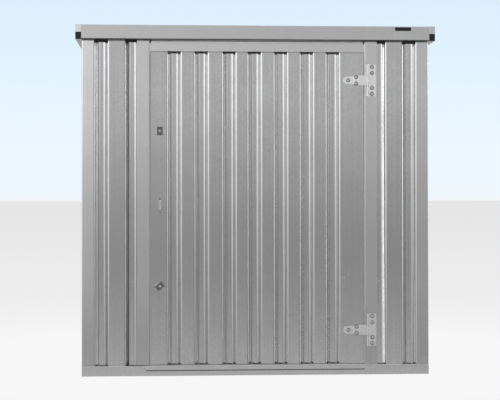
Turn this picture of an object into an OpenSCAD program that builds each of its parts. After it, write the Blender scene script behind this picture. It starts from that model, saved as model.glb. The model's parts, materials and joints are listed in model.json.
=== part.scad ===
// Steel storage container of the flat-packed kind, in its 2 metre size.
// A folded steel floor frame and roof frame are joined by four corner posts and
// closed with grooved sheet panels. One hinged door fills most of the front.
// Millimetres. X runs along the front, Y runs to the rear and Z is up.
// The origin is on the ground, at the centre of the roof's outline.

/* [Roof] */
// Width over the roof edges
roof_w = 2170; // [2090:5:2250]
// Depth over the roof edges
roof_d = 2100; // [1900:10:2400]
// Height from the ground to the top of the roof
total_h = 2110; // [2000:5:2300]
// How far the roof reaches past the side walls
side_reach = 35; // [30:1:60]
// How far the roof reaches past the front and rear walls
front_reach = 42; // [41:1:70]
// Height of the front and rear roof rails
fascia_h = 85; // [70:1:110]
// How far the faces of those rails lie behind the tubes' ends
rail_setback = 2; // [1:0.5:6]
// Height of the square tubes under the roof's side edges
tube_h = 43; // [30:1:44]
// Wall thickness of the tubes
tube_t = 3; // [2:0.5:5]
// Thickness of the black plugs' outer caps
plug_cap = 4; // [2:0.5:8]
// How deep a plug goes into its tube
plug_depth = 20; // [10:1:40]
// Width of each roof beam
beam_w = 40; // [30:1:80]
// Number of roof beams
beam_count = 2; // [1:1:4]
// Height of the roof sheets' ribs
rib_h = 20; // [12:1:26]

/* [Frame] */
// Thickness of the folded frame members
frame_t = 3; // [2:0.5:5]
// Width of the frame members' flanges
flange_w = 50; // [40:1:70]
// Height of the floor frame
base_h = 62; // [50:1:90]
// Thickness of the floor boards
board_t = 21; // [12:1:30]
// Number of floor boards, side by side
board_count = 2; // [1:1:4]
// Width of each floor joist
joist_w = 50; // [40:1:80]
// Number of floor joists
joist_count = 4; // [2:1:6]
// Width of each leg of a corner post
post_w = 71; // [50:1:72]

/* [Walls] */
// Thickness of the grooved sheet
sheet_t = 1.5; // [1:0.1:2]
// Width of a groove where it opens
groove_mouth = 84; // [60:1:90]
// Width of a groove at its floor
groove_floor = 42; // [30:1:56]
// Depth of a groove
groove_depth = 24; // [18:1:32]
// Distance from one groove to the next
groove_pitch = 185; // [180:1:210]
// Distance from a corner of the walls to the first groove's middle
corner_to_groove = 117; // [117:1:126]

/* [Doorway] */
// Width of the doorway
opening_w = 1302; // [1250:1:1340]
// How far the doorway lies to the right of the middle
door_shift = 8; // [-20:1:20]
// Distance from the top of the roof down to the doorway's head
head_drop = 153; // [145:1:260]
// Width of each jamb
jamb_w = 76; // [60:1:80]
// Depth of the jambs and the lintel
jamb_depth = 60; // [58:1:80]
// Height of the lintel's face
lintel_h = 48; // [30:1:50]
// How far the strip over the lintel is set back
strip_setback = 8; // [5:1:12]
// Space between each end of that strip and the jamb
strip_space = 8; // [5:1:25]
// Width of the door stops
stop_w = 20; // [12:1:30]
// Thickness of the threshold plate
threshold_t = 2; // [1:0.5:3]
// How far the threshold's lip stands out
lip_out = 10; // [6:1:16]
// Height of the threshold's lip
lip_h = 27; // [15:1:35]
// How far the lip runs past the doorway on the left
lip_past = 22; // [0:1:40]
// Size of the slanted cut at the lip's right end
lip_cut = 10; // [4:1:14]

/* [Door] */
// Clearance at each side of the door
side_gap = 6.5; // [6:0.5:12]
// Clearance over and under the door
end_gap = 6; // [5:0.5:15]
// How far the door's face stands out from the jambs
door_out = 2; // [0:0.5:4]
// Distance from the door's left edge to its first groove's middle
first_groove = 141; // [110:1:160]
// Distances from each groove of the door to the next
groove_steps = [164, 168, 153, 159, 158, 158];
// Width of the stiles inside the door
stile_w = 40; // [30:1:60]
// Height of the rails inside the door
rail_h = 60; // [40:1:80]
// Depth of the rails inside the door
rail_d = 20; // [12:1:22]
// Wall thickness of the stiles and rails
tube_wall = 2; // [1.5:0.5:3]

/* [Hinges] */
// Distance from the doorway's head down to the upper hinge's middle
upper_hinge_drop = 172; // [127:1:457]
// Height of the lower hinge's middle above the ground
lower_hinge_z = 271; // [180:1:500]
// How far the hinge pins lie outside the doorway's right edge
pin_past = 18; // [16:1:24]
// How far the hinge pins lie in front of the jambs
pin_out = 9; // [8.5:0.5:9.5]
// Radius of a hinge pin
pin_r = 4; // [3:0.5:5]
// Outer radius of a hinge knuckle
knuckle_r = 8; // [7:0.5:8]
// Running clearance round a pin
pin_play = 0.05; // [0.02:0.01:0.08]
// Clearance between one knuckle and the next
knuckle_play = 0.5; // [0.3:0.1:0.8]
// Thickness of the hinge plates and straps
hinge_t = 4; // [3:0.5:5]
// Height of a hinge plate
plate_h = 195; // [120:1:240]
// Reach of a hinge plate from the pin
plate_reach = 52; // [40:1:54]
// Reach of a strap from the pin
strap_reach = 148; // [100:1:160]
// Height of a strap at the pin
strap_h = 62; // [50:1:80]
// Height of a strap at its tip
strap_tip_h = 42; // [24:1:48]
// Size of the corners cut from a strap's tip
tip_cut = 9; // [4:1:11]

/* [Handle and latches] */
// Distance of the handle and latches from the door's left edge
lock_inset = 55; // [54:1:60]
// Height of the handle's middle above the ground
handle_z = 1028; // [900:1:1100]
// Height over the handle's ends
handle_h = 88; // [70:1:140]
// Thickness of the handle's rod
handle_rod = 14; // [10:1:16]
// How far the handle stands out from the door
handle_out = 36; // [32:1:39]
// Height of the upper latch above the ground
upper_latch_z = 1475; // [1300:1:1600]
// Height of the lower latch above the ground
lower_latch_z = 540; // [400:1:700]
// Angle at which the lower latch rests, from upright
lower_latch_turn = 50; // [0:1:90]
// Width of a latch's rose
rose_w = 56; // [40:1:60]
// Height of a latch's rose
rose_h = 32; // [26:1:44]
// Thickness of a latch's rose
rose_t = 2; // [1.5:0.5:3]
// Width of a latch's grip
grip_w = 34; // [20:1:38]
// Length of a latch's grip
grip_h = 50; // [36:1:54]
// Thickness of a latch's grip
grip_t = 12; // [8:1:16]
// Radius of a latch's spindle
spindle_r = 6; // [4:0.5:8]
// Clearance between the grip and the rose
grip_play = 0.5; // [0.3:0.1:1]
// Length of the arm behind the door
arm_l = 44; // [30:1:48]
// Thickness of that arm
arm_t = 4; // [3:0.5:5]

/* [Blank plates] */
// Width of the dark plate on the front rail
plate_w = 97; // [60:1:140]
// Height of that plate
plate_height = 22; // [15:1:24]
// Width of the pale sticker under it
sticker_w = 109; // [60:1:140]
// Height of that sticker
sticker_h = 44; // [20:1:46]
// Thickness of both
label_t = 0.8; // [0.5:0.1:1.5]
// Distance from the rail's right end to the middle of both
label_inset = 160; // [90:1:250]
// Distance from the top of the roof to the top of the plate
label_drop = 6; // [3:1:10]
// Space between the plate and the sticker
label_space = 4; // [2:1:8]

/* [Hidden] */
$fn = 48;

// Colours of the finished metal, the floor and the small fittings
sheet_colour = "lightgray";
frame_colour = "gainsboro";
fitting_colour = "silver";
plastic_colour = "black";
floor_colour = "burlywood";

// Outer faces of the roof, the frame and the wall sheets, from the middle
roof_x = roof_w / 2;
roof_y = roof_d / 2;
wall_x = roof_x - side_reach;
wall_y = roof_y - front_reach;
sheet_x = wall_x - frame_t;
sheet_y = wall_y - frame_t;
rail_face = roof_y - rail_setback;

// Levels of the walls' top, the roof tubes and the roof's skin
wall_top = total_h - fascia_h;
wall_h = wall_top - base_h;
edge_h = fascia_h - tube_h + frame_t;
tube_z = total_h - edge_h - tube_h;
deck_top = total_h - frame_t;
deck_z = deck_top - rib_h;

// Shape of one groove: its slope, and how far the inside bend is shifted
slope_angle = atan2(groove_depth, (groove_mouth - groove_floor) / 2);
bend_shift = sheet_t * tan(slope_angle / 2);
groove_half = groove_mouth / 2 + bend_shift;

// The doorway's edges and the jambs' inner faces
open_left = door_shift - opening_w / 2;
open_right = door_shift + opening_w / 2;
head_z = total_h - head_drop;
threshold_z = base_h + threshold_t;
stop_y = -wall_y + jamb_depth - frame_t;

// The door's outline and the planes that its layers lie on
leaf_left = open_left + side_gap;
leaf_right = open_right - side_gap;
leaf_z = threshold_z + end_gap;
leaf_top = head_z - end_gap;
leaf_h = leaf_top - leaf_z;
leaf_y = -wall_y - door_out;
stile_y = leaf_y + sheet_t;
rail_y = leaf_y + groove_depth + sheet_t;

// The hinge pins' and the latches' lines, and the upper hinge's level
pin_x = open_right + pin_past;
pin_y = -wall_y - pin_out;
upper_hinge_z = head_z - upper_hinge_drop;
lock_x = leaf_left + lock_inset;

// Overlap of cutting solids past the faces that they cut
cut = 1;

// Middles of evenly spaced grooves between two points, an even number of them
function even_grooves(from, to) =
    let (steps = 2 * floor((to - from) / groove_pitch / 2) + 1)
    [for (i = [0:steps]) from + (to - from) * i / steps];

// Middles of the door's grooves, as far as they fit beside its right stile
function door_grooves() =
    let (last = leaf_right - sheet_t - stile_w - groove_half)
    [for (i = [0:len(groove_steps)]) let (c = door_groove(i)) if (c < last) c];

// Middle of the door's groove number i, counted from the left
function door_groove(i) = i == 0 ? leaf_left + first_groove : door_groove(i - 1) + groove_steps[i - 1];

// Four corners of a groove at x, on the sheet's outside (0) or inside (1)
function groove_corners(x, inside) =
    let (m = groove_mouth / 2 + inside * bend_shift)
    let (f = groove_floor / 2 + inside * bend_shift)
    let (y = inside * sheet_t)
    [[x - m, y], [x - f, y + groove_depth], [x + f, y + groove_depth], [x + m, y]];

// A list of points in reverse
function reversed(points) = [for (i = [len(points) - 1:-1:0]) points[i]];

// Plan of a grooved sheet from x0 to x1, outside face along Y = 0
module sheet_plan(x0, x1, grooves) {
    outside = [for (x = grooves) each groove_corners(x, 0)];
    inside = [for (x = grooves) each groove_corners(x, 1)];
    polygon(concat([[x0, 0]], outside, [[x1, 0], [x1, sheet_t]], reversed(inside), [[x0, sheet_t]]));
}

// A grooved wall panel standing on the floor frame, outside face along Y = 0
module wall_panel(x0, x1, grooves) {
    translate([0, 0, base_h])
        linear_extrude(wall_h)
            sheet_plan(x0, x1, grooves);
}

// A folded channel of length l along X: web at Y = 0, flanges towards +Y.
// Its ends are closed by plates of thickness end_t, or open where that is 0.
module channel(l, h, w, end_t = 0) {
    past = end_t > 0 ? -end_t : cut;
    difference() {
        translate([-l / 2, 0, 0])
            cube([l, w, h]);
        translate([-l / 2 - past, frame_t, frame_t])
            cube([l + 2 * past, w, h - 2 * frame_t]);
    }
}

// A square tube of length l along X with its low corner at the origin
module box_tube(l, w, h, t) {
    difference() {
        cube([l, w, h]);
        translate([-cut, t, t])
            cube([l + 2 * cut, w - 2 * t, h - 2 * t]);
    }
}

// The rails of the floor frame: front and rear run through, the sides fit between
module base_end_rail() {
    color(frame_colour)
        translate([0, -wall_y, 0])
            channel(2 * wall_x, base_h, flange_w, frame_t);
}

module base_side_rail() {
    color(frame_colour)
        rotate([0, 0, 90])
            translate([0, -wall_x, 0])
                channel(2 * (wall_y - flange_w), base_h, flange_w);
}

module base_front_rail() {
    base_end_rail();
}

module base_rear_rail() {
    mirror([0, 1, 0])
        base_end_rail();
}

module base_right_rail() {
    base_side_rail();
}

module base_left_rail() {
    mirror([1, 0, 0])
        base_side_rail();
}

// Joists from front to rear, standing on the rails' lower flanges
module floor_joists() {
    joist_h = base_h - board_t - frame_t;
    joist_l = 2 * (wall_y - frame_t);
    joist_x = wall_x - flange_w - joist_w / 2;
    color(frame_colour)
        for (i = [0:joist_count - 1])
            translate([joist_x * (2 * i / (joist_count - 1) - 1) + joist_w / 2, -joist_l / 2, frame_t])
                rotate([0, 0, 90])
                    box_tube(joist_l, joist_w, joist_h, frame_t);
}

// Plywood boards on the joists, level with the rails' upper flanges
module floor_boards() {
    floor_w = 2 * (wall_x - flange_w);
    floor_d = 2 * (wall_y - flange_w);
    board_w = floor_w / board_count;
    color(floor_colour)
        for (i = [0:board_count - 1])
            translate([i * board_w - floor_w / 2, -floor_d / 2, base_h - board_t])
                cube([board_w - knuckle_play, floor_d, board_t]);
}

// Corner posts: folded angles that cover the ends of the wall panels
module corner_post() {
    color(frame_colour)
        translate([-wall_x, -wall_y, base_h])
            difference() {
                cube([post_w, post_w, wall_h]);
                translate([frame_t, frame_t, -cut])
                    cube([post_w, post_w, wall_h + 2 * cut]);
            }
}

module front_left_post() {
    corner_post();
}

module front_right_post() {
    mirror([1, 0, 0])
        corner_post();
}

module rear_left_post() {
    mirror([0, 1, 0])
        corner_post();
}

module rear_right_post() {
    mirror([1, 0, 0])
        mirror([0, 1, 0])
            corner_post();
}

// A front panel from the corner to a jamb that is reach away from the middle
module front_panel(reach) {
    first = -wall_x + corner_to_groove;
    last = -reach - frame_t - groove_half;
    color(sheet_colour)
        translate([0, -sheet_y, 0])
            wall_panel(-sheet_x, -reach - frame_t, [for (x = [first:groove_pitch:last]) x]);
}

module front_left_panel() {
    front_panel(-open_left);
}

module front_right_panel() {
    mirror([1, 0, 0])
        front_panel(open_right);
}

// The rear wall's grooves are spread between its corners, with a joint in the middle
module rear_panel() {
    first = -wall_x + corner_to_groove;
    color(sheet_colour)
        rotate([0, 0, 180])
            translate([0, -sheet_y, 0])
                wall_panel(-sheet_x, 0, [for (x = even_grooves(first, -first)) if (x < 0) x]);
}

module rear_right_panel() {
    rear_panel();
}

module rear_left_panel() {
    mirror([1, 0, 0])
        rear_panel();
}

// A side wall's front panel, between the front panel's inner face and the middle
module side_panel() {
    first = -wall_y + corner_to_groove;
    color(sheet_colour)
        rotate([0, 0, 90])
            translate([0, -sheet_x, 0])
                wall_panel(-sheet_y + sheet_t, 0, [for (y = even_grooves(first, -first)) if (y < 0) y]);
}

module right_front_panel() {
    side_panel();
}

module right_rear_panel() {
    mirror([0, 1, 0])
        side_panel();
}

module left_front_panel() {
    mirror([1, 0, 0])
        side_panel();
}

module left_rear_panel() {
    mirror([1, 0, 0])
        mirror([0, 1, 0])
            side_panel();
}

// A jamb's face and its reveal, for a doorway edge that is reach left of the middle
module jamb(reach) {
    color(frame_colour)
        translate([-reach, -wall_y, base_h]) {
            translate([-jamb_w, 0, 0])
                cube([jamb_w, frame_t, wall_h]);
            translate([-frame_t, 0, 0])
                cube([frame_t, jamb_depth, wall_h]);
        }
}

module door_left_jamb() {
    jamb(-open_left);
}

module door_right_jamb() {
    mirror([1, 0, 0])
        jamb(open_right);
}

// The lintel's face, its soffit and the set-back strip that closes the wall over it
module door_lintel() {
    strip_z = head_z + lintel_h - frame_t;
    color(frame_colour) {
        translate([open_left, -wall_y, head_z])
            cube([opening_w, frame_t, lintel_h]);
        translate([open_left, -wall_y, head_z])
            cube([opening_w, jamb_depth, frame_t]);
        translate([open_left, -wall_y, strip_z])
            cube([opening_w, strip_setback + frame_t, frame_t]);
        translate([open_left + strip_space, -wall_y + strip_setback, strip_z])
            cube([opening_w - 2 * strip_space, frame_t, wall_top - strip_z]);
    }
}

// Flat bars behind the door: it closes against them at both sides and at the head
module door_stops() {
    stop_h = head_z - threshold_z;
    color(frame_colour)
        translate([open_left, stop_y, threshold_z]) {
            cube([stop_w, frame_t, stop_h]);
            translate([opening_w - stop_w, 0, 0])
                cube([stop_w, frame_t, stop_h]);
            translate([stop_w + knuckle_play, 0, stop_h - stop_w])
                cube([opening_w - 2 * (stop_w + knuckle_play), frame_t, stop_w]);
        }
}

// Threshold: a plate on the floor frame, folded down in front as a lip
module threshold() {
    lip_left = open_left - lip_past;
    lip_z = threshold_z - lip_h;
    color(frame_colour) {
        translate([open_left, -wall_y, base_h])
            cube([opening_w, flange_w, threshold_t]);
        translate([lip_left, -wall_y - lip_out, base_h])
            cube([open_right - lip_left, lip_out, threshold_t]);
        translate([0, -wall_y - lip_out + threshold_t, 0])
            rotate([90, 0, 0])
                linear_extrude(threshold_t)
                    polygon([
                        [lip_left, lip_z], [open_right - lip_cut, lip_z],
                        [open_right, lip_z + lip_cut], [open_right, threshold_z],
                        [lip_left, threshold_z]
                    ]);
    }
}

// Front and rear rails of the roof frame: channels that rest on the walls
module roof_end_rail() {
    color(frame_colour)
        translate([0, -rail_face, wall_top])
            channel(2 * wall_x, fascia_h, rail_face - wall_y + flange_w);
}

module roof_front_rail() {
    roof_end_rail();
}

module roof_rear_rail() {
    mirror([0, 1, 0])
        roof_end_rail();
}

// Side rails of the roof frame, between the front and rear rails
module roof_side_rail() {
    rail_l = 2 * (wall_y - flange_w);
    color(frame_colour)
        rotate([0, 0, 90])
            translate([0, -wall_x, wall_top])
                channel(rail_l, fascia_h, flange_w);
}

module roof_right_rail() {
    roof_side_rail();
}

module roof_left_rail() {
    mirror([1, 0, 0])
        roof_side_rail();
}

// A square tube along the outside of a side rail, closed by plugs
module roof_tube() {
    tube_l = roof_d - 2 * plug_cap;
    color(frame_colour)
        translate([roof_x, -tube_l / 2, tube_z])
            rotate([0, 0, 90])
                box_tube(tube_l, side_reach, tube_h, tube_t);
}

module roof_right_tube() {
    roof_tube();
}

module roof_left_tube() {
    mirror([1, 0, 0])
        roof_tube();
}

// The folded edge over a tube, with closed ends
module roof_edge() {
    color(frame_colour)
        translate([wall_x, -roof_y, total_h - edge_h])
            difference() {
                cube([side_reach, roof_d, edge_h]);
                translate([-cut, frame_t, frame_t])
                    cube([side_reach - frame_t + cut, roof_d - 2 * frame_t, edge_h - 2 * frame_t]);
            }
}

module roof_right_edge() {
    roof_edge();
}

module roof_left_edge() {
    mirror([1, 0, 0])
        roof_edge();
}

// Plastic plugs in the four tube ends
module tube_plug() {
    translate([wall_x, -roof_y, tube_z])
        cube([side_reach, plug_cap, tube_h]);
    translate([wall_x + tube_t, -roof_y, tube_z + tube_t])
        cube([side_reach - 2 * tube_t, plug_cap + plug_depth, tube_h - 2 * tube_t]);
}

module tube_plugs() {
    color(plastic_colour)
        for (side = [0, 1], end = [0, 1])
            mirror([side, 0, 0])
                mirror([0, end, 0])
                    tube_plug();
}

// Beams across the roof, on the side rails' lower flanges, under the sheets
module roof_beams() {
    beam_l = 2 * (wall_x - frame_t);
    beam_z = wall_top + frame_t;
    beam_space = 2 * roof_y / (beam_count + 1);
    color(frame_colour)
        for (i = [1:beam_count])
            translate([-beam_l / 2, i * beam_space - roof_y - beam_w / 2, beam_z])
                box_tube(beam_l, beam_w, deck_z - beam_z, frame_t);
}

// Plan of one roof sheet's ribs: trapezoids that stand up from its flat
module deck_line(x0, x1, ribs) {
    run = rib_h / 2;
    mouth = groove_floor / 2 + run;
    top = groove_floor / 2;
    low = [for (x = ribs) each [[x - mouth, 0], [x - top, rib_h - sheet_t], [x + top, rib_h - sheet_t], [x + mouth, 0]]];
    high = [for (p = low) [p[0], p[1] + sheet_t]];
    polygon(concat([[x0, 0]], low, [[x1, 0], [x1, sheet_t]], reversed(high), [[x0, sheet_t]]));
}

// Two ribbed sheets, held under the roof frame's upper flanges
module roof_sheets() {
    deck_x = wall_x - frame_t;
    deck_y = rail_face - frame_t;
    rib_x = deck_x - corner_to_groove;
    ribs = [for (x = even_grooves(-rib_x, rib_x)) if (x > 0) x];
    color(sheet_colour)
        for (side = [0, 1])
            mirror([side, 0, 0])
                translate([0, deck_y, deck_z])
                    rotate([90, 0, 0])
                        linear_extrude(2 * deck_y)
                            deck_line(knuckle_play / 2, deck_x, ribs);
}

// Blank plate and sticker on the front rail, near its right end
module blank_plates() {
    label_x = wall_x - label_inset;
    top_z = total_h - label_drop - plate_height;
    color(plastic_colour)
        translate([label_x - plate_w / 2, -rail_face - label_t, top_z])
            cube([plate_w, label_t, plate_height]);
    color("white")
        translate([label_x - sticker_w / 2, -rail_face - label_t, top_z - label_space - sticker_h])
            cube([sticker_w, label_t, sticker_h]);
}

// Places what follows on the hinge pins' line, at both hinges
module at_hinges() {
    for (z = [lower_hinge_z, upper_hinge_z])
        translate([pin_x, pin_y, z])
            children();
}

// A hinge plate with its two outer knuckles
module hinge_plate() {
    middle_h = strap_h + 2 * knuckle_play;
    knuckle_h = (plate_h - middle_h) / 2;
    plate_y = pin_out - hinge_t;
    difference() {
        union() {
            translate([knuckle_r, plate_y, -plate_h / 2])
                cube([plate_reach - knuckle_r, hinge_t, plate_h]);
            for (z = [-plate_h / 2, middle_h / 2]) {
                translate([0, 0, z])
                    cylinder(h = knuckle_h, r = knuckle_r);
                translate([0, plate_y, z])
                    cube([knuckle_r, hinge_t, knuckle_h]);
            }
        }
        translate([0, 0, -plate_h / 2 - cut])
            cylinder(h = plate_h + 2 * cut, r = pin_r);
    }
}

module hinge_plates() {
    color(fitting_colour)
        at_hinges()
            hinge_plate();
}

module hinge_pins() {
    color(fitting_colour)
        at_hinges()
            translate([0, 0, -plate_h / 2])
                cylinder(h = plate_h, r = pin_r);
}

// A strap with its middle knuckle, tapered towards its tip
module hinge_strap() {
    strap_y = pin_out - door_out;
    root = strap_h / 2;
    tip = strap_tip_h / 2;
    difference() {
        union() {
            translate([0, strap_y, 0])
                rotate([90, 0, 0])
                    linear_extrude(hinge_t)
                        polygon([
                            [0, -root], [0, root], [-pin_past - side_gap, root],
                            [-strap_reach + tip_cut, tip], [-strap_reach, tip - tip_cut],
                            [-strap_reach, tip_cut - tip], [-strap_reach + tip_cut, -tip],
                            [-pin_past - side_gap, -root]
                        ]);
            translate([0, 0, -root])
                cylinder(h = strap_h, r = knuckle_r);
        }
        translate([0, 0, -root - cut])
            cylinder(h = strap_h + 2 * cut, r = pin_r + pin_play);
    }
}

module hinge_straps() {
    color(fitting_colour)
        at_hinges()
            hinge_strap();
}

// The door's grooved sheet, folded back along both sides, with the spindles' holes
module door_leaf() {
    return_d = groove_depth + sheet_t;
    color(sheet_colour)
        difference() {
            translate([0, leaf_y, leaf_z])
                linear_extrude(leaf_h) {
                    sheet_plan(leaf_left, leaf_right, door_grooves());
                    translate([leaf_left, 0])
                        square([sheet_t, return_d]);
                    translate([leaf_right - sheet_t, 0])
                        square([sheet_t, return_d]);
                }
            at_latches()
                spindle(spindle_r + grip_play, -cut, sheet_t + cut);
        }
}

// Stiles behind the door's flat margins
module door_stiles() {
    stile_d = groove_depth;
    color(frame_colour)
        for (x = [leaf_left + sheet_t, leaf_right - sheet_t - stile_w])
            translate([x, stile_y, leaf_z])
                difference() {
                    cube([stile_w, stile_d, leaf_h]);
                    translate([tube_wall, tube_wall, -cut])
                        cube([stile_w - 2 * tube_wall, stile_d - 2 * tube_wall, leaf_h + 2 * cut]);
                }
}

// Rails across the back of the door, over its grooves and stiles
module door_rails() {
    rail_l = leaf_right - leaf_left;
    rail_step = (leaf_h - rail_h) / 2;
    color(frame_colour)
        for (i = [0:2])
            translate([leaf_left, rail_y, leaf_z + i * rail_step])
                box_tube(rail_l, rail_d, rail_h, tube_wall);
}

// D-shaped pull handle of round rod
module pull_handle() {
    r = handle_rod / 2;
    leg_z = handle_h / 2 - r;
    grip_y = -handle_out + r;
    color(fitting_colour)
        translate([lock_x, leaf_y, handle_z]) {
            translate([0, grip_y, -leg_z])
                cylinder(h = 2 * leg_z, r = r);
            for (z = [-leg_z, leg_z])
                translate([0, grip_y, z]) {
                    sphere(r = r);
                    rotate([-90, 0, 0])
                        cylinder(h = -grip_y, r = r);
                }
        }
}

// Places what follows on the door's face at both latches
module at_latches() {
    for (z = [lower_latch_z, upper_latch_z])
        translate([lock_x, leaf_y, z])
            children();
}

// A round solid along Y between two distances from the door's face
module spindle(r, from, to) {
    translate([0, from, 0])
        rotate([-90, 0, 0])
            cylinder(h = to - from, r = r);
}

module latch_roses() {
    color(fitting_colour)
        at_latches()
            difference() {
                translate([-rose_w / 2, -rose_t, -rose_h / 2])
                    cube([rose_w, rose_t, rose_h]);
                spindle(spindle_r + grip_play, -rose_t - cut, cut);
            }
}

// A latch's grip, its spindle through the door and the arm behind the sheet
module latch() {
    grip_y = -rose_t - grip_play;
    arm_y = sheet_t + grip_play;
    color(fitting_colour) {
        translate([-grip_w / 2, grip_y - grip_t, -grip_h / 2])
            cube([grip_w, grip_t, grip_h]);
        spindle(spindle_r, grip_y - cut, arm_y + cut);
        translate([-spindle_r, arm_y, -spindle_r])
            cube([2 * spindle_r, arm_t, arm_l / 2 + spindle_r]);
    }
}

module upper_latch() {
    translate([lock_x, leaf_y, upper_latch_z])
        latch();
}

module lower_latch() {
    translate([lock_x, leaf_y, lower_latch_z])
        rotate([0, lower_latch_turn, 0])
            latch();
}

base_front_rail();
base_rear_rail();
base_left_rail();
base_right_rail();
floor_joists();
floor_boards();
front_left_post();
front_right_post();
rear_left_post();
rear_right_post();
front_left_panel();
front_right_panel();
left_front_panel();
left_rear_panel();
right_front_panel();
right_rear_panel();
rear_left_panel();
rear_right_panel();
door_left_jamb();
door_right_jamb();
door_lintel();
door_stops();
threshold();
roof_front_rail();
roof_rear_rail();
roof_left_rail();
roof_right_rail();
roof_left_tube();
roof_right_tube();
roof_left_edge();
roof_right_edge();
tube_plugs();
roof_beams();
roof_sheets();
blank_plates();
hinge_plates();
hinge_pins();
door_leaf();
door_stiles();
door_rails();
hinge_straps();
pull_handle();
latch_roses();
upper_latch();
lower_latch();
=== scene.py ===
"""A small galvanised steel storage container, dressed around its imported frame.

The sections follow the way such a container is put together: the floor frame and floor,
the corner posts, the grooved wall sheets, the doorway, the roof, the blank plates, the
hinges, and last the door with its pull handle and latches. Lengths are in metres, +X runs
to the right along the front, +Y from the front to the rear and +Z up.
"""

import json
import math

import bpy
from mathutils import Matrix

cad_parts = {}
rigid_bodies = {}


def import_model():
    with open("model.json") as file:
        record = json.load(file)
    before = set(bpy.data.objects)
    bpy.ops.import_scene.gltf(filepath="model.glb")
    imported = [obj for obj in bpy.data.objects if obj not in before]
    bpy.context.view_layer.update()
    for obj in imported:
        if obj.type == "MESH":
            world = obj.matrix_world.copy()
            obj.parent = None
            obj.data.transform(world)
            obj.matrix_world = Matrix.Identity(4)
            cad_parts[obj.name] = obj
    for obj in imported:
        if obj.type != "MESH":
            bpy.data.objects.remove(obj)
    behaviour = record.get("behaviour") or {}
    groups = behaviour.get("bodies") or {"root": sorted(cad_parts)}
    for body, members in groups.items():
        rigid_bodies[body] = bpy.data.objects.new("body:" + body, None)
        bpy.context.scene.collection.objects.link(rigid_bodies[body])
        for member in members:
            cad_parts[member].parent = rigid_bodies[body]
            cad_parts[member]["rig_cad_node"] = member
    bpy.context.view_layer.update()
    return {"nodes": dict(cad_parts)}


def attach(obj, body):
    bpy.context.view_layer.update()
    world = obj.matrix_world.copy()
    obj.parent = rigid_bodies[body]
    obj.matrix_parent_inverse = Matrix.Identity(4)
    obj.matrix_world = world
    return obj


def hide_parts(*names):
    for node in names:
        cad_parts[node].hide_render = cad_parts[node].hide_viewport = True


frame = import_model()
scene = bpy.context.scene


# ---------------------------------------------------------------------------------------
# Camera. It stands 8 m in front of the container, half a metre left of its middle and a
# metre above the ground, and looks a little to the right and very slightly up.
CAMERA_AT = (-0.486, -9.008, 1.009)
CAMERA_YAW = math.radians(3.205)
CAMERA_PITCH = math.radians(0.358)
CAMERA_ROLL = math.radians(-0.067)
SENSOR = 36.0
LENS = 95.44
FARTHEST = 500.0

bpy.ops.object.camera_add(
    location=CAMERA_AT,
    rotation=(math.pi / 2 + CAMERA_PITCH, 0, -CAMERA_YAW),
)
camera = bpy.context.object
camera.name = "camera"
camera.data.sensor_width = SENSOR
camera.data.lens = LENS
camera.data.clip_end = FARTHEST
camera.rotation_euler.rotate_axis("Z", CAMERA_ROLL)
scene.camera = camera
scene.view_settings.view_transform = "Standard"


# ---------------------------------------------------------------------------------------
# Daylight. Bare zinc shows what stands round it: a sky that is dullest at eye level, wide
# openings on the left, a weak one near on the right and the strongest far on the right.
# Behind the container a pale sky meets the floor at a clean line.
def srgb(code):
    """The linear colour of an sRGB hex code such as "#c8c9ca"."""
    parts = [int(code[i : i + 2], 16) / 255 for i in (1, 3, 5)]
    linear = [c / 12.92 if c <= 0.04045 else ((c + 0.055) / 1.055) ** 2.4 for c in parts]
    return (*linear, 1.0)


def node(tree, kind, settings=None, **links):
    """Adds a node, with its settings, and links or sets its inputs by name or number."""
    made = tree.nodes.new(kind)
    for key, value in (settings or {}).items():
        setattr(made, key, value)
    for key, value in links.items():
        socket = made.inputs[int(key[1:]) if key[1:].isdigit() else key.replace("_", " ")]
        if isinstance(value, bpy.types.NodeSocket):
            tree.links.new(value, socket)
        else:
            socket.default_value = value
    return made


def ramp(tree, factor, stops):
    """A grey or colour that runs through stops, from the first one's place to the last's."""
    low, high = stops[0][0], stops[-1][0]
    place = node(tree, "ShaderNodeMapRange", None, i0=factor, i1=low, i2=high)
    made = node(tree, "ShaderNodeValToRGB", None, i0=place.outputs[0])
    points = made.color_ramp.elements
    for i, (at, value) in enumerate(stops):
        at = (at - low) / (high - low)
        point = points[i] if i < len(points) else points.new(at)
        point.position = at
        point.color = value if isinstance(value, tuple) else (value, value, value, 1.0)
    return made.outputs["Color"]


# The brightness of each part by height, which is the sine of the angle above eye level,
# and its share by side, in degrees to the right of straight out from the front.
FRONT = [
    (-0.5, 0.45), (-0.13, 0.45), (-0.1, 0.35), (-0.04, 0.25), (0.0, 0.3),
    (0.1, 0.5), (0.14, 0.4), (0.5, 0.7), (0.9, 0.75),
]
FRONT_BY_SIDE = [
    (-180, 0.8), (-120, 0.9), (-80, 0.0), (-20, 0.2), (-3, 1.0), (12, 1.0),
    (25, 0.6), (40, 0.1), (90, 0.0), (120, 0.9), (180, 0.8),
]
LEFT = [(-0.15, 0.3), (0.0, 0.6), (0.1, 1.1), (0.25, 1.2), (0.5, 0.3), (0.8, 0.0)]
LEFT_BY_SIDE = [(-80, 0.0), (-60, 1.0), (-25, 1.0), (-10, 0.3), (-3, 0.0)]
FAR_LEFT = [(-0.15, 0.8), (0.0, 1.1), (0.1, 1.7), (0.25, 1.5), (0.5, 0.4), (0.8, 0.0)]
FAR_LEFT_BY_SIDE = [(-130, 0.0), (-95, 0.4), (-85, 1.0), (-70, 0.0)]
NEAR_RIGHT = [(-0.15, 0.2), (0.1, 0.4), (0.25, 0.4), (0.5, 0.2), (0.8, 0.0)]
NEAR_RIGHT_BY_SIDE = [(20, 0.0), (30, 1.0), (40, 0.7), (55, 0.0)]
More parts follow.
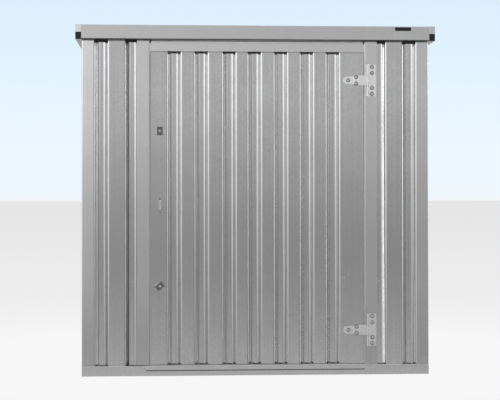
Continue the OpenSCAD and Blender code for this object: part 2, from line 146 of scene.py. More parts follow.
RIGHT = [(-0.15, 1.5), (0.0, 2.7), (0.1, 4.2), (0.25, 3.5), (0.5, 1.0), (0.8, 0.0)]
RIGHT_BY_SIDE = [(65, 0.0), (75, 0.8), (80, 1.0), (90, 0.25), (100, 0.15), (125, 0.0)]

world = bpy.data.worlds.new("daylight")
scene.world = world
world.use_nodes = True
sky = world.node_tree
sky.nodes.clear()
direction = node(sky, "ShaderNodeTexCoord").outputs["Generated"]
aim = node(sky, "ShaderNodeSeparateXYZ", None, i0=direction)
ahead = node(sky, "ShaderNodeMath", {"operation": "MULTIPLY"}, i0=aim.outputs["Y"], i1=-1.0)
turn = node(
    sky, "ShaderNodeMath", {"operation": "ARCTAN2"}, i0=aim.outputs["X"], i1=ahead.outputs[0]
)
side = node(sky, "ShaderNodeMath", {"operation": "DEGREES"}, i0=turn.outputs[0]).outputs[0]
light = (0.0, 0.0, 0.0)
for by_height, by_side, brightest in (
    (FRONT, FRONT_BY_SIDE, 2.0),
    (LEFT, LEFT_BY_SIDE, 2.0),
    (FAR_LEFT, FAR_LEFT_BY_SIDE, 2.0),
    (NEAR_RIGHT, NEAR_RIGHT_BY_SIDE, 2.0),
    (RIGHT, RIGHT_BY_SIDE, 5.0),
):
    # A ramp holds nothing over 1, so it is scaled down and the result up again.
    up = ramp(sky, aim.outputs["Z"], [(z, value / brightest) for z, value in by_height])
    across = ramp(sky, side, by_side)
    part = node(sky, "ShaderNodeVectorMath", {"operation": "MULTIPLY"}, i0=up, i1=across)
    part = node(
        sky, "ShaderNodeVectorMath", {"operation": "SCALE"}, i0=part.outputs[0], Scale=brightest
    )
    light = node(
        sky, "ShaderNodeVectorMath", {"operation": "ADD"}, i0=light, i1=part.outputs[0]
    ).outputs[0]
backdrop = ramp(sky, aim.outputs["Z"], [
    (0.0, srgb("#e6e6e6")), (0.005, srgb("#e6e6e6")), (0.006, srgb("#f2f6fa")),
    (0.015, srgb("#eef7fe")), (0.045, srgb("#eef7fe")), (0.11, srgb("#e1f3ff")),
    (0.16, srgb("#dcedfd")),
])
lit = node(sky, "ShaderNodeBackground", None, Color=light, Strength=1.0)
seen = node(sky, "ShaderNodeBackground", None, Color=backdrop, Strength=1.0)
seen_directly = node(sky, "ShaderNodeLightPath").outputs["Is Camera Ray"]
mixed = node(
    sky, "ShaderNodeMixShader", None, i0=seen_directly, i1=lit.outputs[0], i2=seen.outputs[0]
)
node(sky, "ShaderNodeOutputWorld", None, i0=mixed.outputs[0])


# ---------------------------------------------------------------------------------------
# Ground. A plain pale floor that glows by itself, so no shadow falls on it, and that greys
# a little with distance from the container. The zinc doesn't mirror it and takes its lower
# reflections from the daylight instead.
GROUND_SIZE = 400
GROUND_Z = -0.001

bpy.ops.mesh.primitive_plane_add(size=GROUND_SIZE, location=(0, 0, GROUND_Z))
ground = bpy.context.object
ground.name = "ground"
ground.visible_glossy = False
paint = bpy.data.materials.new("pale_floor_paint")
paint.use_nodes = True
tree = paint.node_tree
tree.nodes.clear()
where = node(tree, "ShaderNodeTexCoord").outputs["Object"]
away = node(tree, "ShaderNodeVectorMath", {"operation": "LENGTH"}, i0=where)
near = node(tree, "ShaderNodeMath", {"operation": "DIVIDE"}, i0=1.0, i1=away.outputs["Value"])
# The stops are one over the distance from the container's middle: 17 m, 3.3 m and 2.2 m.
pale = ramp(tree, near.outputs[0], [
    (0.0, srgb("#e6e6e6")), (0.06, srgb("#ebebeb")), (0.3, srgb("#f2f2f2")),
    (0.45, srgb("#f7f7f7")),
])
glow = node(tree, "ShaderNodeEmission", None, Color=pale)
node(tree, "ShaderNodeOutputMaterial", None, i0=glow.outputs[0])
ground.data.materials.append(paint)


# ---------------------------------------------------------------------------------------
# Floor frame. Four channels folded from 3 mm strip, the front and rear ones running through
# and the side ones between them. They are hot-dip galvanised, which gives pale neutral zinc
# with a faint crystal pattern and drawn streaks.
ALONG_X, ALONG_Y, ALONG_Z = 0, 1, 2
STRIP = 0.003
BASE_BEND = 0.004


def deselect():
    """Deselects every object, because an operator acts on all that is selected."""
    bpy.ops.object.select_all(action="DESELECT")


def make_active(piece):
    """Makes a piece the active one and the only one selected."""
    deselect()
    piece.select_set(True)
    bpy.context.view_layer.objects.active = piece


def finish_piece(piece, name, finish, body, replaced=()):
    """Names a finished piece and hangs it on its body, in place of any CAD nodes."""
    piece.name = name
    piece.data.name = name
    piece.data.materials.clear()
    piece.data.materials.append(finish)
    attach(piece, body)
    if replaced:
        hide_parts(*replaced)


def copy_of(source):
    """A copy of a CAD node with a mesh of its own, its loose triangles joined to faces."""
    make_active(frame["nodes"][source])
    bpy.ops.object.duplicate()
    copy = bpy.context.object
    del copy["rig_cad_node"]
    bpy.ops.object.mode_set(mode="EDIT")
    bpy.ops.mesh.select_mode(type="EDGE")
    bpy.ops.mesh.select_all(action="SELECT")
    bpy.ops.mesh.remove_doubles(threshold=0.00002)
    bpy.ops.mesh.dissolve_limited(angle_limit=math.radians(1))
    bpy.ops.mesh.select_all(action="DESELECT")
    bpy.ops.object.mode_set(mode="OBJECT")
    return copy


def select_only(piece, kind, wanted):
    """Selects the edges or faces that meet a test and leaves the piece in edit mode."""
    make_active(piece)
    bpy.ops.object.mode_set(mode="EDIT")
    bpy.ops.mesh.select_mode(type=kind)
    bpy.ops.mesh.select_all(action="DESELECT")
    bpy.ops.object.mode_set(mode="OBJECT")
    for part in piece.data.edges if kind == "EDGE" else piece.data.polygons:
        part.select = wanted(part)
    bpy.ops.object.mode_set(mode="EDIT")


def runs_along(edge, mesh, axis):
    """Whether an edge runs along an axis."""
    start, end = (mesh.vertices[v].co for v in edge.vertices)
    return abs((end - start).normalized()[axis]) > 0.99


def is_flat(face):
    """Whether a face lies square to X or Y, as a flat between two slopes does."""
    return max(abs(face.normal.x), abs(face.normal.y)) > 0.999


def width_across(face, mesh, axis):
    """The width of a face, measured across an axis."""
    corners = [mesh.vertices[v].co for v in face.vertices]
    return math.hypot(*(
        max(corner[i] for corner in corners) - min(corner[i] for corner in corners)
        for i in range(3)
        if i != axis
    ))


def is_cut(face, mesh, axis, thickness):
    """Whether a face is a cut edge of the strip, or an end across the given axis."""
    return abs(face.normal[axis]) > 0.5 or width_across(face, mesh, axis) < thickness * 1.6


def round_folds(piece, axis, thickness, bend, steps=4, within=math.inf, beside=math.inf):
    """Rounds the folds along an axis and leaves the strip's cut edges sharp.

    Only those folds are rounded that lie within a distance from the middle and, where
    beside is given, next to a flat narrower than that. It sets the edges' selection but
    not the faces', so it also rounds again the facets that an earlier call left selected."""
    mesh = piece.data
    faces_at = {}
    for face in mesh.polygons:
        for key in face.edge_keys:
            faces_at.setdefault(key, []).append(face)
    for edge in mesh.edges:
        faces = faces_at.get(edge.key, [])
        is_fold = (
            runs_along(edge, mesh, axis)
            and abs(mesh.vertices[edge.vertices[0]].co.x) < within
            and len(faces) == 2
            and faces[0].normal.angle(faces[1].normal) > math.radians(20)
            and not any(is_cut(face, mesh, axis, thickness) for face in faces)
        )
        if is_fold and beside < math.inf:
            flats = [width_across(face, mesh, axis) for face in faces if is_flat(face)]
            is_fold = min(flats) < beside
        edge.select = is_fold
    make_active(piece)
    bpy.ops.object.mode_set(mode="EDIT")
    bpy.ops.mesh.bevel(offset=bend, segments=steps, affect="EDGES")
    bpy.ops.object.mode_set(mode="OBJECT")


def smooth(piece, angle=31):
    """Shades folds and curves smooth and keeps the flats flat."""
    make_active(piece)
    bpy.ops.object.shade_smooth_by_angle(angle=math.radians(angle))
    weighting = piece.modifiers.new("weighting", "WEIGHTED_NORMAL")
    weighting.keep_sharp = True
    bpy.ops.object.modifier_apply(modifier=weighting.name)


def folded(source, axis, thickness, bend, finish):
    """A member folded from strip, in place of the CAD node of its name."""
    piece = copy_of(source)
    round_folds(piece, axis, thickness, bend)
    smooth(piece)
    finish_piece(piece, source + "_folded", finish, "container", [source])


def zinc(
    name, code, roughness,
    drawn=0.0, spangle_mm=9, streak_mm=14, contrast=0.1, foot=1.0, lean=0.0,
):
    """Zinc with crystals, streaks and clouds in its shade, and slight waves in its face.

    Streaks run upright and spread light sideways. Near the ground its colour is darkened to
    foot times itself as painted shade, and the shading leans by some degrees to the right."""
    cloud_mm = 200
    streaks_per_m = 0.9
    waves_per_m = 2.6
    low, high = 0.7, 1.3
    uneven = 0.03
    foot_z, unshaded_z = 0.2, 0.55

    metal = bpy.data.materials.new(name)
    metal.use_nodes = True
    tree = metal.node_tree
    tree.nodes.clear()
    place = node(tree, "ShaderNodeTexCoord").outputs["Object"]
    crystals = node(
        tree, "ShaderNodeTexVoronoi", {"feature": "F1"}, Vector=place, Scale=1000 / spangle_mm
    )
    crystal = node(tree, "ShaderNodeRGBToBW", None, i0=crystals.outputs["Color"])
    spread = (1000 / streak_mm, 1000 / streak_mm, streaks_per_m)
    along = node(tree, "ShaderNodeMapping", None, Vector=place, Scale=spread)
    streaks = node(
        tree, "ShaderNodeTexNoise", None, Vector=along.outputs[0], Scale=1.0, Detail=4.0
    )
    cloud = node(
        tree, "ShaderNodeTexNoise", None, Vector=place, Scale=1000 / cloud_mm, Detail=5.0
    )
    both = node(
        tree, "ShaderNodeMath", {"operation": "MULTIPLY_ADD"},
        i0=crystal.outputs[0], i1=0.4, i2=streaks.outputs[0],
    )
    pattern = node(
        tree, "ShaderNodeMath", {"operation": "MULTIPLY_ADD"},
        i0=cloud.outputs[0], i1=0.6, i2=both.outputs[0],
    ).outputs[0]

    base = srgb(code)[:3]
    dull = (*(c * (1 - contrast) for c in base), 1.0)
    bright = (*(min(1.0, c * (1 + contrast)) for c in base), 1.0)
    shade = ramp(tree, pattern, [(low, dull), (high, bright)])
    height = node(tree, "ShaderNodeSeparateXYZ", None, i0=place).outputs["Z"]
    # Painted shade: the colour darkens to foot times itself towards the ground.
    painted_foot_shade = ramp(tree, height, [(foot_z, foot), (unshaded_z, 1.0)])
    colour = node(tree, "ShaderNodeVectorMath", {"operation": "MULTIPLY"}, i0=shade, i1=painted_foot_shade)
    rough = node(
        tree, "ShaderNodeMapRange", None,
        i0=pattern, i1=low, i2=high, i3=roughness + uneven, i4=roughness - uneven,
    )

    waves = node(
        tree, "ShaderNodeTexNoise", None, Vector=place, Scale=waves_per_m, Detail=1.0
    )
    tilt = node(
        tree, "ShaderNodeMath", {"operation": "MULTIPLY_ADD"},
        i0=crystal.outputs[0], i1=0.01, i2=waves.outputs[0],
    )
    bump = node(
        tree, "ShaderNodeBump", None, Height=tilt.outputs[0], Strength=1.0, Distance=0.0010
    )
    facing = node(
        tree, "ShaderNodeVectorRotate", {"rotation_type": "Z_AXIS"},
        Vector=bump.outputs[0], Angle=math.radians(lean),
    )
    # The tangent lies in the front's faces, and a little Y in it serves the sides' faces.
    across = node(tree, "ShaderNodeCombineXYZ", None, X=1.0, Y=0.2, Z=0.0)
    skin = node(
        tree, "ShaderNodeBsdfPrincipled", None,
        Base_Color=colour.outputs[0], Metallic=1.0, Roughness=rough.outputs[0],
        Normal=facing.outputs[0], Anisotropic=drawn, Tangent=across.outputs[0],
    )
    node(tree, "ShaderNodeOutputMaterial", None, i0=skin.outputs[0])
    return metal


rail_zinc = zinc("hot_dip_zinc_on_rail", "#f8f8f9", 0.22, drawn=0.85, contrast=0.04)
for source in ("base_front_rail", "base_rear_rail"):
    folded(source, ALONG_X, STRIP, BASE_BEND, rail_zinc)
for source in ("base_left_rail", "base_right_rail"):
    folded(source, ALONG_Y, STRIP, BASE_BEND, rail_zinc)


# ---------------------------------------------------------------------------------------
# Floor. Four joists of square steel tube under two boards of film-faced plywood. The film
# is brown, with the long grain showing faintly through it, and the boards' edges are
# broken by a small round.
JOIST_BEND = 0.003
BOARD_EDGE = 0.0015
GRAIN_PER_M = (9.0, 160.0, 160.0)  # 110 mm long and 6 mm wide
PLY_BANDS = 1000 / 22  # one each 7 mm, coarser than real plies so that they show

# Its foot of 0.82 paints shade low down: the colour darkens below 0.55 m.
frame_zinc = zinc(
    "hot_dip_zinc_on_strip", "#f8f8f9", 0.22, drawn=0.85, contrast=0.04, foot=0.82
)
folded("floor_joists", ALONG_Y, STRIP, JOIST_BEND, frame_zinc)

plywood = bpy.data.materials.new("film_faced_plywood")
plywood.use_nodes = True
tree = plywood.node_tree
tree.nodes.clear()
place = node(tree, "ShaderNodeTexCoord").outputs["Object"]
along = node(tree, "ShaderNodeMapping", None, Vector=place, Scale=GRAIN_PER_M)
grain = node(
    tree, "ShaderNodeTexNoise", None,
    Vector=along.outputs[0], Scale=1.0, Detail=6.0, Distortion=0.6,
)
plies = node(
    tree, "ShaderNodeTexWave", {"bands_direction": "Z"},
    Vector=place, Scale=PLY_BANDS, Distortion=0.3,
)
blend = node(
    tree, "ShaderNodeMath", {"operation": "MULTIPLY_ADD"},
    i0=plies.outputs["Fac"], i1=0.15, i2=grain.outputs[0],
)
colour = ramp(tree, blend.outputs[0], [
    (0.35, srgb("#4a3225")), (0.6, srgb("#6e4d38")), (0.75, srgb("#8a6548")),
])
bump = node(
    tree, "ShaderNodeBump", None, Height=grain.outputs[0], Strength=0.4, Distance=0.0004
)
skin = node(
    tree, "ShaderNodeBsdfPrincipled", None,
    Base_Color=colour, Roughness=0.45, Normal=bump.outputs[0],
)
node(tree, "ShaderNodeOutputMaterial", None, i0=skin.outputs[0])


def soften(piece, width, segments, sharp=35):
    """Breaks a piece's sharp edges by a small round."""
    edging = piece.modifiers.new("edging", "BEVEL")
    edging.width = width
    edging.segments = segments
    edging.limit_method = "ANGLE"
    edging.angle_limit = math.radians(sharp)
    make_active(piece)
    bpy.ops.object.modifier_apply(modifier=edging.name)


def edged(source, width, finish, body, segments=2):
    """A copy of a CAD node with its edges broken, in place of that node."""
    piece = copy_of(source)
    soften(piece, width, segments)
    smooth(piece)
    finish_piece(piece, source + "_edged", finish, body, [source])


edged("floor_boards", BOARD_EDGE, plywood, "container")


# ---------------------------------------------------------------------------------------
# Corner posts. Angles folded from 3 mm strip, each standing on a corner of the floor frame
# over the ends of two wall sheets. The shading of the front left one leans 3 degrees, as
# if its fold stood a little open.
POST_BEND = 0.006

# Its foot of 0.82 paints shade low down: the colour darkens below 0.55 m.
leaning_zinc = zinc(
    "hot_dip_zinc_on_open_fold", "#f8f8f9", 0.22,
    drawn=0.85, contrast=0.04, foot=0.82, lean=-3.0,
)
folded("front_left_post", ALONG_Z, STRIP, POST_BEND, leaning_zinc)
for source in ("front_right_post", "rear_left_post", "rear_right_post"):
    folded(source, ALONG_Z, STRIP, POST_BEND, frame_zinc)


# ---------------------------------------------------------------------------------------
# Wall sheets. Cold-rolled 1.5 mm sheet with deep upright grooves, galvanised after rolling.
# Small hexagon-headed screws hold them, three to a row in the groove beside each joint,
# and black strips in the tops of the front's grooves are painted shade under the roof rail.
SHEET = 0.0015
MOUTH_BEND = 0.0062
FLOOR_BEND = 0.0064
WIDEST_FLOOR = 0.048  # a flat narrower than this is the floor of a groove

sheet_zinc = zinc(
    "hot_dip_zinc_on_sheet", "#ededee", 0.14,
    drawn=0.6, spangle_mm=11, streak_mm=16, contrast=0.06,
)


def grooved(source, body="container", within=math.inf):
    """A grooved sheet with rounded folds, in place of its CAD node.

    The folds at the grooves' floors are rounded first. Known fault: the second round takes
    their facets too, so the floors' bends overlap themselves by some millimetres. To mend
    it, deselect the faces between the two rounds."""
    piece = copy_of(source)
    round_folds(piece, ALONG_Z, SHEET, FLOOR_BEND, 6, within, WIDEST_FLOOR)
    round_folds(piece, ALONG_Z, SHEET, MOUTH_BEND, 5, within)
    smooth(piece)
    finish_piece(piece, source + "_rolled", sheet_zinc, body, [source])


for source in (
    "front_left_panel", "front_right_panel", "left_front_panel", "left_rear_panel",
    "right_front_panel", "right_rear_panel", "rear_left_panel", "rear_right_panel",
):
    grooved(source)


def joined(pieces):
    """Joins pieces to one."""
    deselect()
    for piece in pieces:
        piece.select_set(True)
    bpy.context.view_layer.objects.active = pieces[0]
    if len(pieces) > 1:
        bpy.ops.object.join()
    return bpy.context.object


def placed(model, spots):
    """Copies a modelled piece to each spot and turn, and joins the copies to one piece."""
    copies = []
    for spot, turn in spots:
        make_active(model)
        bpy.ops.object.duplicate()
        copies.append(bpy.context.object)
        bpy.context.object.location = spot
        bpy.context.object.rotation_euler = turn
    made = joined(copies)
    bpy.ops.object.transform_apply(location=True, rotation=True, scale=True)
    return made


def disc(sides, radius, low, high, rounding, steps):
    """An upright disc between two heights, with its upper edge rounded."""
    deselect()
    bpy.ops.mesh.primitive_cylinder_add(
        vertices=sides, radius=radius, depth=high - low, location=(0, 0, (low + high) / 2)
    )
    made = bpy.context.object
    bpy.ops.object.transform_apply(location=True)
    select_only(made, "FACE", lambda face: face.normal.z > 0.9)
    bpy.ops.mesh.bevel(offset=rounding, segments=steps, affect="EDGES")
    bpy.ops.object.mode_set(mode="OBJECT")
    return made


def screw(across, height, flange, sides=6):
    """The head of a screw on its flange, towards +Z: hexagonal, or cupped with more sides."""
    cupped = sides > 6
    seat = disc(24, flange / 2, 0.0, height * 0.3, height * 0.12, 2)
    head = disc(
        sides, across / 2 / math.cos(math.pi / sides), height * 0.2, height,
        height * (0.5 if cupped else 0.15), 6 if cupped else 2,
    )
    joined([head, seat])
    smooth(head)
    return head


def matt(name, code, roughness):
    """A plain rubber, plastic or vinyl with a faint unevenness in its shade."""
    clouds_per_m = 30.0
    low, high = 0.3, 0.7

    made = bpy.data.materials.new(name)
    made.use_nodes = True
    tree = made.node_tree
    tree.nodes.clear()
    place = node(tree, "ShaderNodeTexCoord").outputs["Object"]
    cloud = node(
        tree, "ShaderNodeTexNoise", None, Vector=place, Scale=clouds_per_m, Detail=4.0
    )
    base = srgb(code)
    darker = (*(c * 0.9 for c in base[:3]), 1.0)
    colour = ramp(tree, cloud.outputs[0], [(low, darker), (high, base)])
    skin = node(
        tree, "ShaderNodeBsdfPrincipled", None, Base_Color=colour, Roughness=roughness
    )
    node(tree, "ShaderNodeOutputMaterial", None, i0=skin.outputs[0])
    return made


def block(low, high):
    """A square block between two corners."""
    deselect()
    middle = [(a + b) / 2 for a, b in zip(low, high)]
    bpy.ops.mesh.primitive_cube_add(size=1, location=middle)
    made = bpy.context.object
    made.scale = [b - a for a, b in zip(low, high)]
    bpy.ops.object.transform_apply(location=True, rotation=True, scale=True)
    return made


def bar(low, high, rounding, segments=2):
    """A straight bar between two corners, with its edges rounded."""
    made = block(low, high)
    bpy.ops.object.mode_set(mode="EDIT")
    bpy.ops.mesh.select_all(action="SELECT")
    bpy.ops.mesh.bevel(offset=rounding, segments=segments, affect="EDGES")
    bpy.ops.object.mode_set(mode="OBJECT")
    return made


FRONT_FACING = (math.pi / 2, 0, 0)
REAR_FACING = (-math.pi / 2, 0, 0)
LEFT_FACING = (0, -math.pi / 2, 0)
RIGHT_FACING = (0, math.pi / 2, 0)
SCREW_HEIGHTS = (0.565, 1.08, 1.565)
SCREWS_FRONT_X = (-0.745, 0.747)
SCREWS_REAR_X = (-0.093, 0.093)
SCREWS_SIDE_Y = (-0.099, 0.099)
GROOVE_FACE_X = 1.023
GROOVE_FACE_Y = 0.981
WALL_GROOVES = (-0.933, -0.748, 0.748, 0.933)
WALL_GROOVE_SHADE_REACH = 0.040

fitting_zinc = zinc("electroplated_zinc", "#f0f0f1", 0.22, contrast=0.05)
sheet_screw = screw(0.008, 0.005, 0.013)
spots = [((x, -GROOVE_FACE_Y, z), FRONT_FACING) for x in SCREWS_FRONT_X for z in SCREW_HEIGHTS]
spots += [((x, GROOVE_FACE_Y, z), REAR_FACING) for x in SCREWS_REAR_X for z in SCREW_HEIGHTS]
spots += [((-GROOVE_FACE_X, y, z), LEFT_FACING) for y in SCREWS_SIDE_Y for z in SCREW_HEIGHTS]
spots += [((GROOVE_FACE_X, y, z), RIGHT_FACING) for y in SCREWS_SIDE_Y for z in SCREW_HEIGHTS]
wall_screws = placed(sheet_screw, spots)
bpy.data.objects.remove(sheet_screw)
finish_piece(wall_screws, "wall_screws", fitting_zinc, "container")

# A flat black for painted shadow and shade in gaps and hollows.
painted_shadow_black = matt("painted_shadow_black", "#1a1b1c", 0.6)
# Black strips in the tops of the front's grooves are painted shade under the roof rail.
groove_top_shades = joined([
    bar((x - WALL_GROOVE_SHADE_REACH, -1.0030, 2.0150), (x + WALL_GROOVE_SHADE_REACH, -0.9990, 2.0245), 0.0005)
    for x in WALL_GROOVES
])
finish_piece(groove_top_shades, "wall_groove_top_shade", painted_shadow_black, "container")


# ---------------------------------------------------------------------------------------
# Doorway. Jambs, lintel and threshold folded from strip, between floor frame and roof rail,
# with a rubber seal in the gap round the door whose pale grey is painted light. Thin dark strips
# are painted shadow at the left jamb's foot and under the threshold's lip, and a folded sheet edge
# shows beside the right jamb.
JAMB_BEND = 0.004
LINTEL_BEND = 0.001
THRESHOLD = 0.002
THRESHOLD_BEND = 0.0025
STOP_EDGE = 0.0008
SEAL_FRONT = -1.0076
SEAL_BACK = -0.996
SEAL_ROUND = 0.001
SEAL_BARS = (
    ((-0.6425, 0.064), (-0.6378, 1.957)),  # left
    ((0.6538, 0.064), (0.6585, 1.957)),  # right
    ((-0.6385, 0.064), (0.6545, 0.0687)),  # foot
    ((-0.6385, 1.9523), (0.6545, 1.957)),  # head
)

for source in ("door_left_jamb", "door_right_jamb"):
    folded(source, ALONG_Z, STRIP, JAMB_BEND, frame_zinc)
folded("door_lintel", ALONG_X, STRIP, LINTEL_BEND, frame_zinc)
folded("threshold", ALONG_X, THRESHOLD, THRESHOLD_BEND, rail_zinc)
edged("door_stops", STOP_EDGE, frame_zinc, "container")

seal = joined([
    bar((left, SEAL_FRONT, foot), (right, SEAL_BACK, head), SEAL_ROUND, 3)
    for (left, foot), (right, head) in SEAL_BARS
])
smooth(seal, 60)
# The seal's pale grey is painted light, which keeps the gap round the door from showing dark.
seal_painted_light_grey = matt("grey_seal_painted_light", "#cdcdcd", 0.5)
finish_piece(seal, "door_seal", seal_painted_light_grey, "container")

# A black strip at the left jamb's foot is painted shadow in the gap there.
jamb_foot_shadow = bar((-0.719, -1.0086, 0.0622), (-0.6435, -1.004, 0.0660), 0.0004)
finish_piece(jamb_foot_shadow, "jamb_foot_painted_shadow", painted_shadow_black, "container")
edge_fold = bar((0.7335, -1.0048, 0.0640), (0.7350, -0.9820, 2.0150), 0.0004, 1)
finish_piece(edge_fold, "right_jamb_edge", sheet_zinc, "container")
# A dark grey strip just under the threshold's lip is painted shadow.
lip_shadow_strip = bar((-0.664, -1.0105, 0.0300), (0.658, -1.0075, 0.0365), 0.0006)
lip_shadow_grey = matt("painted_lip_shadow_grey", "#5c5d5e", 0.6)
finish_piece(lip_shadow_strip, "threshold_lip_shadow", lip_shadow_grey, "container")


# ---------------------------------------------------------------------------------------
# Roof. Folded rails all round, a hollow edge over a square tube along each side, two beams,
# and two ribbed sheets held under the rails' upper flanges. Black plastic plugs close the
# tubes, and a thin black strip under the front rail is painted shadow.
RAIL_BEND = 0.006
SIDE_RAIL_BEND = 0.005
TUBE_BEND = 0.004
RIB_BEND = 0.004
BEAM_EDGE = 0.003
PLUG_EDGE = 0.0015

roof_zinc = zinc("hot_dip_zinc_on_roof_rail", "#ededee", 0.22, drawn=0.85, contrast=0.04)
for source in ("roof_front_rail", "roof_rear_rail"):
    folded(source, ALONG_X, STRIP, RAIL_BEND, roof_zinc)
for source in ("roof_left_rail", "roof_right_rail"):
    folded(source, ALONG_Y, STRIP, SIDE_RAIL_BEND, frame_zinc)
folded("roof_left_edge", ALONG_Y, STRIP, TUBE_BEND, leaning_zinc)
for source in ("roof_right_edge", "roof_left_tube", "roof_right_tube"):
    folded(source, ALONG_Y, STRIP, TUBE_BEND, frame_zinc)
edged("roof_beams", BEAM_EDGE, frame_zinc, "container", segments=3)
folded("roof_sheets", ALONG_Y, SHEET, RIB_BEND, sheet_zinc)
# A thin black strip under the front rail is painted shadow where the rail overhangs the wall.
fascia_painted_shadow = bar((-1.049, -1.0465, 2.0235), (1.049, -1.0200, 2.0248), 0.0004)
finish_piece(fascia_painted_shadow, "fascia_painted_shadow", painted_shadow_black, "container")
black_plastic = matt("black_plastic", "#1b1d20", 0.42)
edged("tube_plugs", PLUG_EDGE, black_plastic, "container", segments=3)


# ---------------------------------------------------------------------------------------
# Blank plates. A black anodised aluminium plate over a pale vinyl label near the right end
# of the front rail, both left plain.
PLATE_CORNER = 0.002
LABEL_CORNER = 0.003


def plate(low, high, corner):
    """A thin plate on the front face, with its four corners rounded."""
    made = block(low, high)
    select_only(made, "EDGE", lambda edge: runs_along(edge, made.data, ALONG_Y))
    bpy.ops.mesh.bevel(offset=corner, segments=4, affect="EDGES")
    bpy.ops.object.mode_set(mode="OBJECT")
    return made


name_plate = plate((0.8415, -1.0488, 2.082), (0.9385, -1.0480, 2.104), PLATE_CORNER)
anodised = matt("black_anodised_plate", "#17191b", 0.35)
finish_piece(
    name_plate, "name_plate", anodised, "container", ["blank_plates"]
)
label = plate((0.8355, -1.0483, 2.034), (0.9445, -1.0480, 2.078), LABEL_CORNER)
vinyl = matt("pale_vinyl", "#c9cacb", 0.5)
finish_piece(label, "vinyl_label", vinyl, "container")


# ---------------------------------------------------------------------------------------
# Hinges. Zinc-plated strap hinges: a plate bolted to the right jamb, a pin, and a tapered
# strap bolted to the door, by cup-headed bolts of 17 mm over washers whose dark grey is
# painted shade round the heads. The shading of plates and straps leans to the left, towards the
# light there.
HINGE_EDGE = 0.0008
PIN_EDGE = 0.0010
PIN_X = 0.677
HINGE_HEIGHTS = (0.271, 1.785)
PLATE_FACE = -1.012
PLATE_BOLT_X = PIN_X + 0.028
PLATE_BOLTS_UP = (-0.082, -0.045, 0.045, 0.082)
STRAP_FACE = -1.0135
STRAP_BOLTS = ((0.069, -0.0195), (0.069, 0.0195), (0.118, 0.0))

hinge_zinc = zinc("barrel_plated_zinc", "#f8f8f9", 0.28, contrast=0.05, lean=-11.5)
edged("hinge_plates", HINGE_EDGE, hinge_zinc, "container")
edged("hinge_pins", PIN_EDGE, fitting_zinc, "container")
edged("hinge_straps", HINGE_EDGE, hinge_zinc, "door")

# The washers' dark grey is painted shade, a dark ring round each bright bolt head.
washer_shade_zinc = zinc("washer_zinc_painted_shade", "#6a6b6d", 0.5)
plate_spots = [
    ((PLATE_BOLT_X, PLATE_FACE, z + up), FRONT_FACING)
    for z in HINGE_HEIGHTS
    for up in PLATE_BOLTS_UP
]
strap_spots = [
    ((PIN_X - back, STRAP_FACE, z + up), FRONT_FACING)
    for z in HINGE_HEIGHTS
    for back, up in STRAP_BOLTS
]
cup_bolt = screw(0.017, 0.007, 0.018, sides=24)
washer = screw(0.0235, 0.0014, 0.024, sides=24)
for part, spots, body in (("plate", plate_spots, "container"), ("strap", strap_spots, "door")):
    bolts = placed(cup_bolt, spots)
    finish_piece(bolts, part + "_bolts", fitting_zinc, body)
    washers = placed(washer, spots)
    finish_piece(washers, part + "_washers", washer_shade_zinc, body)
bpy.data.objects.remove(cup_bolt)
bpy.data.objects.remove(washer)


# ---------------------------------------------------------------------------------------
# Door. One grooved sheet like the walls', folded back along both sides, on stiles and rails
# of square tube. Black strips at the tops of its grooves are painted shade in the hollow
# under the lintel, and two small rivets show on its right margin.
LEAF_FOLD = 0.6
DOOR_GROOVES = (-0.4955, -0.3315, -0.1635, -0.0105, 0.1485, 0.3065, 0.4645)
DOOR_GROOVE_SHADE_REACH = 0.039
STILE_EDGE = 0.002
RIVETS = ((0.612, -1.010, 1.217), (0.531, -1.010, 0.586))

grooved("door_leaf", "door", LEAF_FOLD)
# Black strips at the tops of the door's grooves are painted shade under the lintel.
groove_top_shades = joined([
    bar((x - DOOR_GROOVE_SHADE_REACH, -1.0085, 1.9485), (x + DOOR_GROOVE_SHADE_REACH, -1.0045, 1.9560), 0.0005)
    for x in DOOR_GROOVES
])
finish_piece(groove_top_shades, "door_groove_top_shade", painted_shadow_black, "door")
for source in ("door_stiles", "door_rails"):
    edged(source, STILE_EDGE, frame_zinc, "door", segments=3)
rivet = screw(0.006, 0.003, 0.010, sides=12)
door_rivets = placed(rivet, [(spot, FRONT_FACING) for spot in RIVETS])
bpy.data.objects.remove(rivet)
finish_piece(door_rivets, "door_rivets", fitting_zinc, "door")


# ---------------------------------------------------------------------------------------
# Pull handle. A 14 mm rod bent to a shallow D and welded to the left margin of the door.
# The rod is drawn round its path in one piece, and a thin collar of weld rings each foot.
ROD = 0.007
WELD = 0.003
DOOR_FACE = -1.010
HANDLE_X = -0.5815
HANDLE_LOW = 0.991
HANDLE_HIGH = 1.065
HANDLE_OUT = -1.039
BEND = 0.013
LEG = HANDLE_OUT + BEND - (DOOR_FACE - WELD)
NARROWING = ROD / (ROD + WELD)


def draw_on(y=0.0, z=0.0):
    """Draws the open end of the rod on by a length."""
    bpy.ops.mesh.extrude_region_move(TRANSFORM_OT_translate={"value": (0, y, z)})


def resize_end(factor, z):
    """Widens or narrows the open end of the rod, which lies at a height."""
    bpy.ops.transform.resize(
        value=(factor, 1, factor), center_override=(HANDLE_X, DOOR_FACE, z)
    )


def turn_down(z):
    """Draws the open end round a quarter turn about a height."""
    bpy.ops.mesh.spin(
        steps=7, angle=-math.pi / 2, center=(HANDLE_X, HANDLE_OUT + BEND, z), axis=(1, 0, 0)
    )


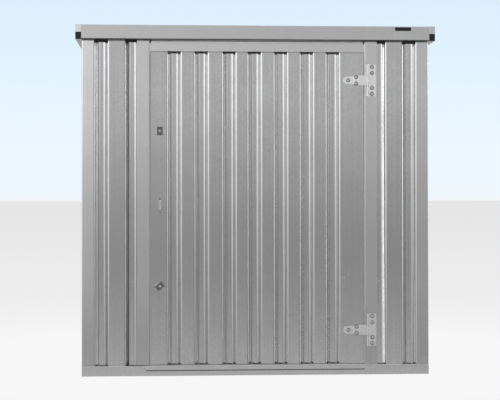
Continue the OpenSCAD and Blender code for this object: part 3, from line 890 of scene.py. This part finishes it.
deselect()
bpy.ops.mesh.primitive_circle_add(
    vertices=24, radius=ROD + WELD, fill_type="NOTHING",
    location=(HANDLE_X, DOOR_FACE, HANDLE_HIGH), rotation=FRONT_FACING,
)
handle = bpy.context.object
bpy.ops.object.transform_apply(location=True, rotation=True)
bpy.ops.object.mode_set(mode="EDIT")
bpy.ops.mesh.select_mode(type="VERT")
bpy.ops.mesh.select_all(action="SELECT")
draw_on(y=-WELD)
resize_end(NARROWING, HANDLE_HIGH)
draw_on(y=LEG)
turn_down(HANDLE_HIGH - BEND)
draw_on(z=HANDLE_LOW - HANDLE_HIGH + 2 * BEND)
turn_down(HANDLE_LOW + BEND)
draw_on(y=-LEG)
draw_on(y=WELD)
resize_end(1 / NARROWING, HANDLE_LOW)
bpy.ops.mesh.select_all(action="SELECT")
bpy.ops.mesh.remove_doubles(threshold=0.00001)
bpy.ops.mesh.normals_make_consistent(inside=False)
bpy.ops.object.mode_set(mode="OBJECT")
smooth(handle, 60)
handle_zinc = zinc("zinc_on_round_bar", "#cfd0d1", 0.30, contrast=0.05)
finish_piece(
    handle, "pull_handle_bent", handle_zinc, "door", ["pull_handle"]
)


# ---------------------------------------------------------------------------------------
# Latches. A plated oblong rose on the door, and over it a cast grip with a sunk face round
# a raised lock barrel, on a spindle that turns an arm behind the jamb. The lower one
# stands turned by 50 degrees.
ROSE_EDGE = 0.0010
LATCHES = (("upper_latch", 1.475), ("lower_latch", 0.540))
GRIP_FACE = -1.0245
GRIP_RIM = 0.006
GRIP_SINK = 0.007
GRIP_ROUND = 0.003

cast_zinc = zinc("cast_zinc", "#8c8d8f", 0.38, contrast=0.08)
edged("latch_roses", ROSE_EDGE, fitting_zinc, "door")
for source, height in LATCHES:
    grip = copy_of(source)
    select_only(
        grip, "FACE",
        lambda face: face.normal.y < -0.99 and face.center.y < GRIP_FACE + 0.0005,
    )
    bpy.ops.mesh.inset(thickness=GRIP_RIM)
    bpy.ops.mesh.extrude_region_move(TRANSFORM_OT_translate={"value": (0, GRIP_SINK, 0)})
    bpy.ops.object.mode_set(mode="OBJECT")
    soften(grip, GRIP_ROUND, 3, sharp=40)
    smooth(grip, 40)
    finish_piece(grip, source + "_grip", cast_zinc, source, [source])
    lock = screw(0.013, 0.009, 0.018, sides=24)
    barrel = placed(lock, [((HANDLE_X, GRIP_FACE + GRIP_SINK, height), FRONT_FACING)])
    bpy.data.objects.remove(lock)
    finish_piece(barrel, source + "_barrel", fitting_zinc, source)
